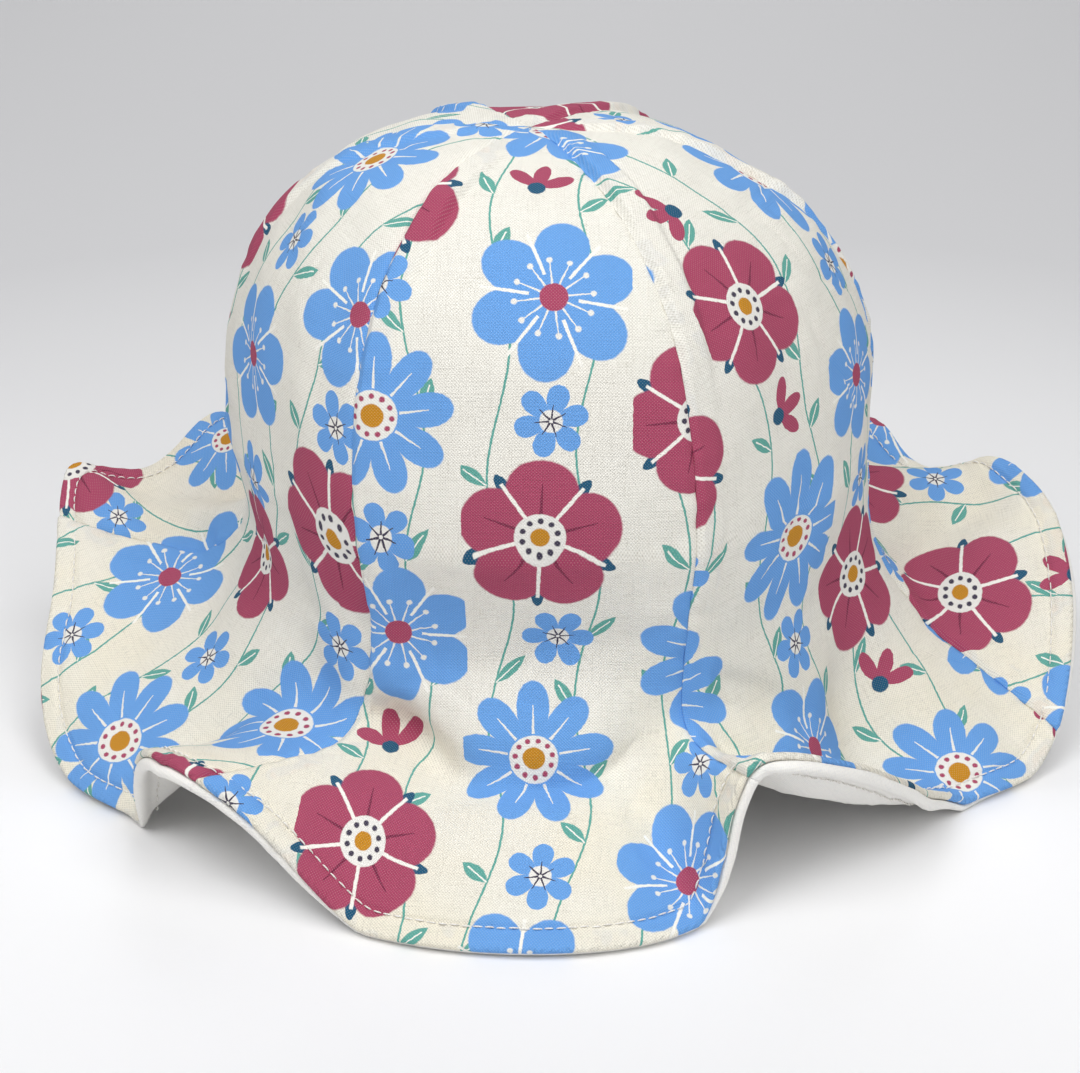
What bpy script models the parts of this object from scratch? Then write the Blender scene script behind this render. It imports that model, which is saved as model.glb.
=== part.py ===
"""Six-panel tulip hat of printed cotton with a white cotton lining, standing by itself on its wavy brim.

Metres, +Z up, the front of the hat towards -Y. The origin lies on the surface that the hat stands on, under the
middle of its outline. Each panel is crown and brim in one, from the crown's middle to the hem.
"""
import math

import bmesh
import bpy
import numpy as np

# Driving dimensions of the crown
HAT_HEIGHT = 0.157       # from the surface up to the crown's middle
CROWN_RADIUS = 0.079     # at the seams, where the crown is widest
WIDEST_HEIGHT = 0.078    # height of that widest ring
CROWN_FULLNESS = 2.55    # exponent of the dome: 2 is an ellipse, more is fuller at the shoulder
PANEL_FLATNESS = 0.32    # 0 is a round crown, 1 is flat between the seams
CROWN_SHIFT_X = 0.0025   # the crown stands a little to one side of the brim
APEX_LEAN_X = -0.0045    # and its middle leans a little to the side and forward
APEX_LEAN_Y = -0.0070

# Driving dimensions of the brim
BRIM_REACH = 0.130       # from the hat's axis out to the hem
WAVE_LIFT = 0.054        # height of the highest wave of the hem
LIP_LENGTH = 0.040       # how far in from the hem its tilt is felt
DENT_DEPTH = 0.0030      # deepest of the soft dents
FOLD_DEPTH = 0.0025      # deepest of the folds and creases
FOLD_WIDTH = 0.010       # half width of the widest fold

# Driving dimensions of the cloth
OUTER_WALL = 0.0010      # printed cotton with its seam allowances
LINING_WALL = 0.0010     # white cotton
LAYER_GAP = 0.0003       # between the printed cotton and its lining
SEAM_GAP = 0.0003        # between panels that are sewn side to side
TIP_RADIUS = 0.0006      # where the panels' tips stop short of the crown's middle
LINING_LIFT = 0.0003     # the lining's edge stays just clear of the surface

# Facets of one panel
FACETS_ACROSS = 10
FACETS_CROWN = 8
FACETS_BRIM = 11

# Seams: azimuth on the crown and at the hem, degrees anticlockwise from the front seen from above.
# Panel 1 is at the front, between the first two seams.
SEAMS = (
    # crown, hem
    (-33.5, -41.0),
    (23.8, 25.0),
    (89.0, 78.0),
    (147.0, 138.0),
    (206.0, 197.0),
    (265.0, 257.0),
)

# Hem, a row for each low, crest or flank of its five waves.
# Azimuth in degrees, reach as a share of BRIM_REACH, lift as a share of WAVE_LIFT,
# and lip, the tilt of the cloth at the hem in degrees, above or below level.
HEM = (
    # azimuth, reach, lift, lip
    (-103, 0.995, 0.80, 10),
    (-92, 0.955, 0.62, 0),
    (-82, 0.970, 0.29, -25),
    (-71, 0.930, 0.04, -45),
    (-62, 0.870, 0.00, -50),
    (-58, 0.866, 0.14, -35),
    (-54, 0.885, 0.46, -5),
    (-44, 0.900, 0.62, 12),
    (-32, 0.860, 0.36, -15),
    (-19, 0.865, 0.02, -45),
    (-4, 0.870, 0.00, -48),
    (12, 0.860, 0.00, -48),
    (20, 0.825, 0.10, -35),
    (24.5, 0.810, 0.64, 5),
    (33, 0.830, 0.74, 55),
    (47, 0.840, 0.46, 56),
    (58, 0.848, 0.22, 20),
    (65, 0.885, 0.04, -25),
    (70, 0.938, 0.00, -48),
    (77, 1.000, 0.15, -35),
    (87, 1.030, 0.55, -5),
    (99, 1.030, 0.90, 12),
    (110, 0.990, 0.99, 12),
    (115, 0.940, 0.88, 0),
    (121, 0.900, 0.90, -5),
    (128, 0.900, 1.00, 0),
    (138, 0.890, 0.62, -20),
    (150, 0.880, 0.00, -50),
    (163, 0.890, 0.22, -30),
    (179, 0.920, 0.62, -5),
    (194, 0.890, 0.22, -30),
    (208, 0.880, 0.00, -50),
    (219, 0.890, 0.62, -20),
    (229, 0.900, 1.00, 0),
    (238, 0.900, 0.92, -5),
    (245, 0.940, 0.86, 0),
    (250, 1.020, 0.95, 8),
)

# Foot of the crown's wall, where it turns out into the brim.
# Azimuth in degrees, radius as a share of CROWN_RADIUS, height as a share of WIDEST_HEIGHT.
WAIST = (
    # azimuth, radius, height
    (-135, 0.94, 0.80),
    (-112, 0.88, 0.60),
    (-85, 0.86, 0.48),
    (-62, 0.87, 0.42),
    (-40, 0.88, 0.30),
    (-14, 0.84, 0.25),
    (8, 0.85, 0.27),
    (24, 0.95, 0.44),
    (36, 0.98, 0.55),
    (50, 0.97, 0.62),
    (70, 0.97, 0.54),
    (88, 1.00, 0.44),
    (112, 0.97, 0.60),
    (135, 0.95, 0.82),
    (178, 0.95, 0.60),
)

# Soft dents in the cloth. Place across in panels from the first seam, place down as 0 at the crown's middle,
# 1 at the widest ring and 2 at the hem, depth as a share of DENT_DEPTH (negative stands proud), and the
# dent's half widths in the same units as its place.
DENTS = (
    # across, down, depth, half across, half down
    (0.12, 1.49, 0.60, 0.12, 0.10),
    (0.45, 1.56, 0.50, 0.30, 0.10),
    (1.82, 1.50, 0.80, 0.12, 0.14),
    (0.50, 0.62, -0.50, 0.30, 0.22),
    (3.50, 1.30, 0.70, 0.25, 0.20),
    (4.60, 0.75, 0.60, 0.25, 0.18),
    (5.88, 1.44, 0.70, 0.10, 0.14),
)

# Folds and creases: depth as a share of FOLD_DEPTH (negative stands proud), half width as a share of
# FOLD_WIDTH, then the places across and down that its line runs through.
FOLDS = (
    (1.30, 0.50, (-0.08, 1.34), (0.04, 1.40), (0.14, 1.435), (0.28, 1.50), (0.40, 1.53), (0.54, 1.54),
     (0.68, 1.53), (0.84, 1.48)),
    (-0.55, 0.75, (-0.04, 1.24), (0.12, 1.31), (0.30, 1.38)),
    (-0.35, 1.00, (0.30, 1.36), (0.50, 1.40), (0.74, 1.37)),
    (0.80, 0.50, (1.06, 1.36), (1.16, 1.39), (1.28, 1.44), (1.40, 1.51)),
    (-0.50, 0.45, (1.04, 1.56), (1.15, 1.53), (1.32, 1.58)),
    (0.50, 0.40, (-0.03, 0.95), (-0.03, 1.15), (-0.02, 1.34)),
    (0.60, 0.70, (5.58, 0.95), (5.66, 1.10), (5.76, 1.24)),
    (0.30, 0.90, (5.34, 0.40), (5.35, 0.75), (5.42, 1.10)),
    (-0.40, 0.80, (5.70, 0.45), (5.74, 0.75), (5.80, 1.00)),
    (1.40, 0.65, (2.50, 1.99), (2.36, 1.75), (2.22, 1.60), (2.16, 1.50)),
    (-0.80, 0.70, (2.38, 1.99), (2.24, 1.76), (2.12, 1.62)),
    (1.20, 0.70, (4.80, 1.99), (4.88, 1.76), (4.94, 1.62), (4.99, 1.50)),
    (-0.60, 0.60, (4.92, 1.99), (4.99, 1.76), (5.05, 1.64)),
    (-0.50, 1.00, (1.50, 0.60), (1.54, 0.90), (1.60, 1.15)),
)

FULL_TURN = 360.0
PANELS = len(SEAMS)
HEM_STEPS = 2400
WAIST_STEPS = 720
NORMAL_STEP = 0.004
FOLD_STEP = 0.02
LEAST_RISE = 0.0001

CREAM = (0.83, 0.78, 0.67, 1.0)
WHITE = (0.90, 0.90, 0.92, 1.0)
PRINTED_ROUGHNESS = 0.85
LINING_ROUGHNESS = 0.80


def closed_spline(rows, steps):
    """Smooth closed curve through a table whose first column is an azimuth, sampled at even steps of its rows."""
    table = np.array(rows, float)
    count = len(table)
    turn = np.zeros(table.shape[1])
    turn[0] = FULL_TURN
    step = np.vstack([table[1:], table[:1] + turn]) - table
    matrix = np.zeros((count, count))
    right = np.zeros_like(table)
    for row in range(count):
        matrix[row, row - 1] += 1
        matrix[row, row] += 4
        matrix[row, (row + 1) % count] += 1
        right[row] = 3 * (step[row] + step[row - 1])
    slope = np.linalg.solve(matrix, right)
    place = np.linspace(0, count, steps + 1)
    row = np.minimum(place.astype(int), count - 1)
    part = (place - row)[:, None]
    after = (row + 1) % count
    bend = 3 * step[row] - 2 * slope[row] - slope[after]
    twist = slope[row] + slope[after] - 2 * step[row]
    return table[row] + slope[row] * part + bend * part**2 + twist * part**3


def lengths_along(points):
    return np.concatenate([[0], np.cumsum(np.linalg.norm(np.diff(points, axis=0), axis=1))])


def hem_by_panel():
    """The hem's azimuth, radius, height and lip, with the panel position 0 to 6 that each sample has.

    Positions are shared out by the length of the hem itself, as cloth does it.
    """
    azimuth, reach, lift, lip = closed_spline(HEM, HEM_STEPS).T
    radius = reach * BRIM_REACH
    height = np.maximum(lift, 0) * WAVE_LIFT
    turn = np.radians(azimuth)
    arc = lengths_along(np.stack([radius * np.sin(turn), -radius * np.cos(turn), height], axis=1))
    rows = np.stack([azimuth, radius, height, lip], axis=1)
    second = rows[1:] + [FULL_TURN, 0, 0, 0]
    rows = np.vstack([rows, second])
    arc = np.concatenate([arc, arc[1:] + arc[-1]])
    ends = [seam[1] for seam in SEAMS]
    ends.append(ends[0] + FULL_TURN)
    rising = np.maximum.accumulate(rows[:, 0])
    seam_arc = np.interp(ends, rising, arc)
    position = np.interp(arc, seam_arc, np.arange(PANELS + 1), left=-1, right=PANELS + 1)
    return position, rows


HEM_POSITION, HEM_ROWS = hem_by_panel()
WAIST_ROWS = closed_spline(WAIST, WAIST_STEPS)


def hem_at(across):
    inside = (HEM_POSITION >= 0) & (HEM_POSITION <= PANELS)
    return [np.interp(across, HEM_POSITION[inside], HEM_ROWS[inside, column]) for column in range(4)]


def waist_at(azimuth):
    first = WAIST_ROWS[0, 0]
    turned = (azimuth - first) % FULL_TURN + first
    return [np.interp(turned, WAIST_ROWS[:, 0], WAIST_ROWS[:, column]) for column in (1, 2)]


def crown_azimuth(across):
    seams = [seam[0] for seam in SEAMS]
    seams.append(seams[0] + FULL_TURN)
    return np.interp(across, np.arange(PANELS + 1), seams)


def seam_section(across):
    """Radius of the crown's cross-section as a share of its radius at the seams."""
    half = math.pi / PANELS
    turn = (across % 1 - 0.5) * 2 * half
    return 1 - PANEL_FLATNESS + PANEL_FLATNESS * math.cos(half) / np.cos(turn)


def plain_surface(across, down):
    """Outer face of the hat before its dents, across 0 to 6 panels and down 0 to 2."""
    turns = np.floor(across / PANELS)
    across = across - turns * PANELS
    azimuth = crown_azimuth(across)
    hem_azimuth, hem_radius, hem_height, lip = hem_at(across)
    waist_radius, waist_height = waist_at(azimuth)
    lip = np.radians(lip)

    rise = np.clip(1 - down, 0, 1) * math.pi / 2
    power = 2 / CROWN_FULLNESS
    dome_radius = CROWN_RADIUS * np.cos(rise) ** power
    dome_share = np.sin(rise) ** power
    dome_height = WIDEST_HEIGHT + (HAT_HEIGHT - WIDEST_HEIGHT) * dome_share

    fall = np.clip(down - 1, 0, 1)
    weights = ((1 - fall) ** 3, 3 * fall * (1 - fall) ** 2, 3 * fall**2 * (1 - fall), fall**3)
    radii = (CROWN_RADIUS, waist_radius * CROWN_RADIUS, hem_radius - LIP_LENGTH * np.cos(lip), hem_radius)
    heights = (WIDEST_HEIGHT, waist_height * WIDEST_HEIGHT, hem_height - LIP_LENGTH * np.sin(lip), hem_height)
    brim_radius = sum(weight * radius for weight, radius in zip(weights, radii))
    brim_height = sum(weight * height for weight, height in zip(weights, heights))

    on_dome = down <= 1
    rounding = fall**2 * (3 - 2 * fall)
    section = seam_section(across)
    radius = np.where(on_dome, dome_radius, brim_radius) * (section + (1 - section) * rounding)
    height = np.where(on_dome, dome_height, brim_height)
    turn = np.radians(azimuth + (hem_azimuth - azimuth) * fall**2)
    lean = np.where(on_dome, dome_share, 0) ** 2
    x = radius * np.sin(turn) + CROWN_SHIFT_X * (1 - fall) + APEX_LEAN_X * lean
    y = -radius * np.cos(turn) + APEX_LEAN_Y * lean
    return np.stack([x, y, height], axis=-1)


def outward(surface, across, down):
    """Unit normal of a surface, pointing out of the hat, from the places just beside each point."""
    above = np.maximum(down - NORMAL_STEP, NORMAL_STEP)
    below = np.minimum(down + NORMAL_STEP, 2)
    along = surface(across, below) - surface(across, above)
    round_hat = surface(across + NORMAL_STEP, down) - surface(across - NORMAL_STEP, down)
    normal = np.cross(along, round_hat)
    return normal / np.linalg.norm(normal, axis=-1, keepdims=True)


def dent_depth(across, down):
    depth = np.zeros(np.shape(across))
    for place_across, place_down, share, half_across, half_down in DENTS:
        apart = (across - place_across + PANELS / 2) % PANELS - PANELS / 2
        depth += share * np.exp(-((apart / half_across) ** 2) - ((down - place_down) / half_down) ** 2)
    return depth * DENT_DEPTH


def fold_lines():
    """Each fold's depth and half width, its points in metres on the cloth, and its scales: what one panel across
    and one step down measure at its middle."""
    lines = []
    for depth, half_width, *places in FOLDS:
        places = np.array(places, float)
        across, down = places.mean(axis=0)
        around = plain_surface(across + FOLD_STEP, down) - plain_surface(across, down)
        along = plain_surface(across, down + FOLD_STEP) - plain_surface(across, down)
        scales = np.array([np.linalg.norm(step) / FOLD_STEP for step in (around, along)])
        lines.append((depth * FOLD_DEPTH, half_width * FOLD_WIDTH, across, places, scales))
    return lines


FOLD_LINES = fold_lines()


def fold_depth(across, down):
    """Depth of all folds, each a rounded groove or ridge along its line that fades out at both ends."""
    total = np.zeros(np.shape(across))
    for depth, half_width, middle, places, scales in FOLD_LINES:
        near = (across - middle + PANELS / 2) % PANELS - PANELS / 2 + middle
        x, y = near * scales[0], down * scales[1]
        points = places * scales
        lengths = lengths_along(points)
        nearest = np.full(np.shape(across), np.inf)
        share = np.zeros(np.shape(across))
        for start, end, before, after in zip(points, points[1:], lengths, lengths[1:]):
            run = end - start
            part = np.clip(((x - start[0]) * run[0] + (y - start[1]) * run[1]) / (run @ run), 0, 1)
            gap = (x - start[0] - part * run[0]) ** 2 + (y - start[1] - part * run[1]) ** 2
            share = np.where(gap < nearest, (before + part * (after - before)) / lengths[-1], share)
            nearest = np.minimum(gap, nearest)
        total += depth * (1 - (2 * share - 1) ** 4) * np.exp(-nearest / half_width**2)
    return total


def hat_surface(across, down):
    """Outer face of the hat with its dents and folds."""
    normal = outward(plain_surface, across, down)
    depth = dent_depth(across, down) + fold_depth(across, down)
    return plain_surface(across, down) - normal * depth[..., None]


def outline_centre():
    across = np.linspace(0, PANELS, HEM_STEPS)
    hem = plain_surface(across, np.full(HEM_STEPS, 2.0))
    return np.array([(hem[:, 0].min() + hem[:, 0].max()) / 2, (hem[:, 1].min() + hem[:, 1].max()) / 2, 0])


CENTRE = outline_centre()


def panel_places(number):
    """Grid of places on one panel: across from seam to seam, down from its tip to the hem."""
    across = np.linspace(number - 1, number, FACETS_ACROSS + 1)
    tip_rise = math.acos((TIP_RADIUS / CROWN_RADIUS) ** (CROWN_FULLNESS / 2))
    tip = 1 - tip_rise / (math.pi / 2)
    crown = np.linspace(tip, 1, FACETS_CROWN + 1)
    brim = np.linspace(1, 2, FACETS_BRIM + 1)[1:]
    return np.meshgrid(across, np.concatenate([crown, brim]), indexing="ij")


def drawn_in(points):
    """Pulls a panel's two side edges in by half the seam gap."""
    points = points.copy()
    for edge, inner in ((0, 1), (-1, -2)):
        towards = points[inner] - points[edge]
        points[edge] += towards / np.linalg.norm(towards, axis=-1, keepdims=True) * SEAM_GAP / 2
    return points


def stood_on(points, lowest):
    """Draws a panel's hem up along the cloth wherever it would reach below the lowest height."""
    hem = points[:, -1]
    above = points[:, -2]
    rise = np.maximum(above[:, 2] - hem[:, 2], LEAST_RISE)
    share = np.clip((lowest - hem[:, 2]) / rise, 0, 1)
    points = points.copy()
    points[:, -1] = hem + (above - hem) * share[:, None]
    return points


def cloth_panel(name, number, depth, wall, lowest, material):
    """One panel of cloth: a closed shell between two faces at the given depths inside the hat's outer face."""
    across, down = panel_places(number)
    face = hat_surface(across, down)
    normal = outward(hat_surface, across, down)
    mesh = bmesh.new()
    sheets = []
    for inset in (depth, depth + wall):
        points = stood_on(drawn_in(face - normal * inset) - CENTRE, lowest)
        sheets.append([[mesh.verts.new(point) for point in row] for row in points.tolist()])
    outer, inner = sheets
    last_across = len(outer) - 1
    last_down = len(outer[0]) - 1
    for i in range(last_across):
        for j in range(last_down):
            mesh.faces.new((outer[i][j], outer[i][j + 1], outer[i + 1][j + 1], outer[i + 1][j]))
            mesh.faces.new((inner[i][j], inner[i + 1][j], inner[i + 1][j + 1], inner[i][j + 1]))
    for j in range(last_down):
        mesh.faces.new((outer[0][j], inner[0][j], inner[0][j + 1], outer[0][j + 1]))
        mesh.faces.new((outer[-1][j], outer[-1][j + 1], inner[-1][j + 1], inner[-1][j]))
    for i in range(last_across):
        mesh.faces.new((outer[i][0], outer[i + 1][0], inner[i + 1][0], inner[i][0]))
        mesh.faces.new((outer[i][-1], inner[i][-1], inner[i + 1][-1], outer[i + 1][-1]))
    bmesh.ops.recalc_face_normals(mesh, faces=mesh.faces)
    data = bpy.data.meshes.new(name)
    mesh.to_mesh(data)
    mesh.free()
    data.materials.append(material)
    data.shade_smooth()
    panel = bpy.data.objects.new(name, data)
    bpy.context.scene.collection.objects.link(panel)
    return panel


def cotton(name, colour, roughness):
    material = bpy.data.materials.new(name)
    material.use_nodes = True
    shader = material.node_tree.nodes["Principled BSDF"]
    shader.inputs["Base Color"].default_value = colour
    shader.inputs["Roughness"].default_value = roughness
    shader.inputs["Metallic"].default_value = 0.0
    return material


def build():
    for old in list(bpy.data.objects):
        bpy.data.objects.remove(old, do_unlink=True)
    printed = cotton("printed_cotton", CREAM, PRINTED_ROUGHNESS)
    white = cotton("white_cotton", WHITE, LINING_ROUGHNESS)
    lining_depth = OUTER_WALL + LAYER_GAP
    for number in range(1, PANELS + 1):
        cloth_panel(f"outer_petal_{number}", number, 0.0, OUTER_WALL, 0.0, printed)
        cloth_panel(f"lining_petal_{number}", number, lining_depth, LINING_WALL, LINING_LIFT, white)


build()
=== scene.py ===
"""Looks of a six-panel tulip hat: printed cotton outside, white cotton inside, a rolled and topstitched hem.

Metres, +Z up, the front towards -Y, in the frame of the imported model. Every panel is sewn cloth over the same
surface as its solid: seams with their pressed allowances, puckers, soft creases and the hem's two rolls.
"""
import math
from functools import partialmethod

import bpy
import numpy as np
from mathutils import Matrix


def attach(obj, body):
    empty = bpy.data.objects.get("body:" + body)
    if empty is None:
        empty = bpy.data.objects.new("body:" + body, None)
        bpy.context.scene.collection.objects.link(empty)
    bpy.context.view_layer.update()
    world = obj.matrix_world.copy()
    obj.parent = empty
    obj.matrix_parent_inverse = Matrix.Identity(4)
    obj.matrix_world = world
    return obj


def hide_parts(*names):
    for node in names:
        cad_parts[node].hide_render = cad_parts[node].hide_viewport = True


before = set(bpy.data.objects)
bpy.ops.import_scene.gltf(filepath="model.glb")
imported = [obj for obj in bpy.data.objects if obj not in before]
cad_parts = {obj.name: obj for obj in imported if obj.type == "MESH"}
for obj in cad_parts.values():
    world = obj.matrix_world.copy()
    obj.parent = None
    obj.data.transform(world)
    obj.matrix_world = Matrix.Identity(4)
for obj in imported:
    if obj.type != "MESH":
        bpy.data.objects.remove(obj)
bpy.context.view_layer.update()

MM = 0.001

# Crown, brim and cloth, as in the solids
HAT_HEIGHT = 0.157
CROWN_RADIUS = 0.079
WIDEST_HEIGHT = 0.078
CROWN_FULLNESS = 2.55
PANEL_FLATNESS = 0.32
CROWN_SHIFT_X = 0.0025
APEX_LEAN_X = -0.0045
APEX_LEAN_Y = -0.0070
BRIM_REACH = 0.130
WAVE_LIFT = 0.054
LIP_LENGTH = 0.040
DENT_DEPTH = 0.0030
FOLD_DEPTH = 0.0025
FOLD_WIDTH = 0.010
CLOTH_WALL = 0.0010
LAYER_GAP = 0.0003

# Seams: azimuth on the crown and at the hem, degrees anticlockwise from the front seen from above
SEAMS = (
    # crown, hem
    (-33.5, -41.0),
    (23.8, 25.0),
    (89.0, 78.0),
    (147.0, 138.0),
    (206.0, 197.0),
    (265.0, 257.0),
)

# Hem: azimuth in degrees, reach as a share of BRIM_REACH, lift as a share of WAVE_LIFT, lip in degrees
HEM = (
    # azimuth, reach, lift, lip
    (-103, 0.995, 0.80, 10),
    (-92, 0.955, 0.62, 0),
    (-82, 0.970, 0.29, -25),
    (-71, 0.930, 0.04, -45),
    (-62, 0.870, 0.00, -50),
    (-58, 0.866, 0.14, -35),
    (-54, 0.885, 0.46, -5),
    (-44, 0.900, 0.62, 12),
    (-32, 0.860, 0.36, -15),
    (-19, 0.865, 0.02, -45),
    (-4, 0.870, 0.00, -48),
    (12, 0.860, 0.00, -48),
    (20, 0.825, 0.10, -35),
    (24.5, 0.810, 0.64, 5),
    (33, 0.830, 0.74, 55),
    (47, 0.840, 0.46, 56),
    (58, 0.848, 0.22, 20),
    (65, 0.885, 0.04, -25),
    (70, 0.938, 0.00, -48),
    (77, 1.000, 0.15, -35),
    (87, 1.030, 0.55, -5),
    (99, 1.030, 0.90, 12),
    (110, 0.990, 0.99, 12),
    (115, 0.940, 0.88, 0),
    (121, 0.900, 0.90, -5),
    (128, 0.900, 1.00, 0),
    (138, 0.890, 0.62, -20),
    (150, 0.880, 0.00, -50),
    (163, 0.890, 0.22, -30),
    (179, 0.920, 0.62, -5),
    (194, 0.890, 0.22, -30),
    (208, 0.880, 0.00, -50),
    (219, 0.890, 0.62, -20),
    (229, 0.900, 1.00, 0),
    (238, 0.900, 0.92, -5),
    (245, 0.940, 0.86, 0),
    (250, 1.020, 0.95, 8),
)

# Foot of the crown's wall: azimuth, radius as a share of CROWN_RADIUS, height as a share of WIDEST_HEIGHT
WAIST = (
    # azimuth, radius, height
    (-135, 0.94, 0.80),
    (-112, 0.88, 0.60),
    (-85, 0.86, 0.48),
    (-62, 0.87, 0.42),
    (-40, 0.88, 0.30),
    (-14, 0.84, 0.25),
    (8, 0.85, 0.27),
    (24, 0.95, 0.44),
    (36, 0.98, 0.55),
    (50, 0.97, 0.62),
    (70, 0.97, 0.54),
    (88, 1.00, 0.44),
    (112, 0.97, 0.60),
    (135, 0.95, 0.82),
    (178, 0.95, 0.60),
)

# Dents: place across in panels and down (1 at the widest ring, 2 at the hem), depth as a share of DENT_DEPTH
DENTS = (
    # across, down, depth, half across, half down
    (0.12, 1.49, 0.60, 0.12, 0.10),
    (0.45, 1.56, 0.50, 0.30, 0.10),
    (1.82, 1.50, 0.80, 0.12, 0.14),
    (0.50, 0.62, -0.50, 0.30, 0.22),
    (3.50, 1.30, 0.70, 0.25, 0.20),
    (4.60, 0.75, 0.60, 0.25, 0.18),
    (5.88, 1.44, 0.70, 0.10, 0.14),
)

# Softer unevenness that the solids leave out, in the same columns
SOFT_DENTS = (
    (0.42, 0.96, -0.60, 0.42, 0.09),
    (0.46, 1.19, 0.85, 0.40, 0.09),
    (1.50, 1.24, 0.80, 0.34, 0.13),
    (1.42, 0.86, 0.35, 0.26, 0.16),
    (2.10, 1.62, 0.45, 0.22, 0.10),
    (2.28, 1.80, -0.40, 0.18, 0.10),
    (5.50, 1.22, 0.80, 0.30, 0.12),
    (5.24, 1.72, 0.45, 0.16, 0.12),
    (5.50, 0.60, -0.35, 0.24, 0.16),
    (0.36, 1.78, -0.40, 0.34, 0.09),
)

# Folds and creases: depth as a share of FOLD_DEPTH (negative stands proud), half width as a share of
# FOLD_WIDTH, then the places across and down that its line runs through
FOLDS = (
    (1.30, 0.50, (-0.08, 1.34), (0.04, 1.40), (0.14, 1.435), (0.28, 1.50), (0.40, 1.53), (0.54, 1.54),
     (0.68, 1.53), (0.84, 1.48)),
    (-0.55, 0.75, (-0.04, 1.24), (0.12, 1.31), (0.30, 1.38)),
    (-0.35, 1.00, (0.30, 1.36), (0.50, 1.40), (0.74, 1.37)),
    (0.80, 0.50, (1.06, 1.36), (1.16, 1.39), (1.28, 1.44), (1.40, 1.51)),
    (-0.50, 0.45, (1.04, 1.56), (1.15, 1.53), (1.32, 1.58)),
    (0.50, 0.40, (-0.03, 0.95), (-0.03, 1.15), (-0.02, 1.34)),
    (0.60, 0.70, (5.58, 0.95), (5.66, 1.10), (5.76, 1.24)),
    (0.30, 0.90, (5.34, 0.40), (5.35, 0.75), (5.42, 1.10)),
    (-0.40, 0.80, (5.70, 0.45), (5.74, 0.75), (5.80, 1.00)),
    (1.40, 0.65, (2.50, 1.99), (2.36, 1.75), (2.22, 1.60), (2.16, 1.50)),
    (-0.80, 0.70, (2.38, 1.99), (2.24, 1.76), (2.12, 1.62)),
    (1.20, 0.70, (4.80, 1.99), (4.88, 1.76), (4.94, 1.62), (4.99, 1.50)),
    (-0.60, 0.60, (4.92, 1.99), (4.99, 1.76), (5.05, 1.64)),
    (-0.50, 1.00, (1.50, 0.60), (1.54, 0.90), (1.60, 1.15)),
)

# Sharper folds that the solids leave out, in the same columns
SHARP_FOLDS = (
    (0.95, 0.26, (0.03, 1.405), (0.08, 1.43), (0.14, 1.45), (0.24, 1.49), (0.34, 1.52)),
    (0.55, 0.26, (0.50, 1.545), (0.60, 1.545), (0.72, 1.52), (0.86, 1.47)),
    (0.35, 0.24, (1.06, 1.31), (1.18, 1.35), (1.32, 1.42)),
)

FULL_TURN = 360.0
PANELS = len(SEAMS)
HEM_STEPS = 2400
WAIST_STEPS = 720
NORMAL_STEP = 0.004
FOLD_STEP = 0.02

# Seams
GROOVE_DEPTH = 0.55 * MM      # the seam line sinks between its panels
GROOVE_WIDTH = 0.9 * MM
ALLOWANCE_RISE = 0.44 * MM    # both allowances are pressed to one side of a seam
ALLOWANCE_PEAK = 1.20 * MM    # and stand higher still in the upper crown
PEAK_PLACE = 48 * MM
PEAK_REACH = 30 * MM
ALLOWANCE_SPAN = (0.2 * MM, 1.8 * MM, 6.2 * MM, 8.4 * MM)
DIP_DEPTH = 0.22 * MM         # on a seam's other side the cloth sinks a little
DIP_REACH = 3.0 * MM
PUCKER_DEPTH = 0.17 * MM
PUCKER_REACH = 5.0 * MM
PUCKER_GROUPS = 37 * MM
SEAM_FADE = 14.0 * MM         # the seams grow flatter near the crown's middle
LINING_SHARE = 0.6            # relief of the lining as a share of the printed side's

# Waves along seams and hem
ALLOWANCE_WAVES = (
    # height, length, turn from one seam to the next
    (0.22, 43 * MM, 1.7),
    (0.13, 19 * MM, 0.0),
)
PUCKER_WAVES = (
    (1.0, 8.3 * MM, 2.1),
    (0.7, 5.2 * MM, 1.0),
)
HEM_BEAT = (
    (0.6, 31 * MM, 0.0),
    (0.4, 13.7 * MM, 0.0),
)

# Hem and topstitching
STITCH_INSET = 5.6 * MM       # in from the hem
STITCH_PITCH = 2.6 * MM
STITCH_LENGTH = 2.05 * MM
STITCH_SINK = 0.18 * MM       # the stitches pull the cloth in
STITCH_GROOVE = 0.85 * MM
LINING_GROOVE = 0.9 * MM
STITCH_PROUD = 0.30 * MM
STITCH_BOW = 0.34 * MM
STITCH_SLIP = 0.05 * MM       # each stitch starts a little early or late
STITCH_STRAY = 0.06 * MM      # and lies a little to one side
THREAD_RADIUS = 0.19 * MM
THREAD_RINGS = 6
THREAD_SIDES = 6
HEM_PUFF = 0.42 * MM          # the strip outside the topstitching is full of allowances
PUFF_FADE = 2.0 * MM
HEM_EDGE = 0.22 * MM          # the allowances' cut edge stands out inside the topstitching
HEM_EDGE_SPAN = (6 * MM, 7 * MM, 9 * MM, 13 * MM)
HEM_RIPPLE = 0.20 * MM
HEM_RIPPLE_LENGTH = 5.4 * MM
HEM_RIPPLE_SPAN = (0.6 * MM, 2.5 * MM, 5 * MM, 12 * MM)
PRINTED_ROLL = (0.50 * MM, -1.50 * MM)   # faces of the printed cotton's roll at the hem
PRINTED_ROLL_START = 5 * MM
LINING_ROLL = (-1.62 * MM, -3.30 * MM)   # and of the lining's roll behind it
LINING_ROLL_START = 4.6 * MM
ROLL_FULL = 1 * MM
ROLL_SWELL = 1.15 * MM        # the lining's roll is fuller where the hem is off the floor
SWELL_HEIGHTS = (4 * MM, 14 * MM)
FLOOR_SOFTNESS = 0.3 * MM
FLOOR_FADE = 34.0 * MM

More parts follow.
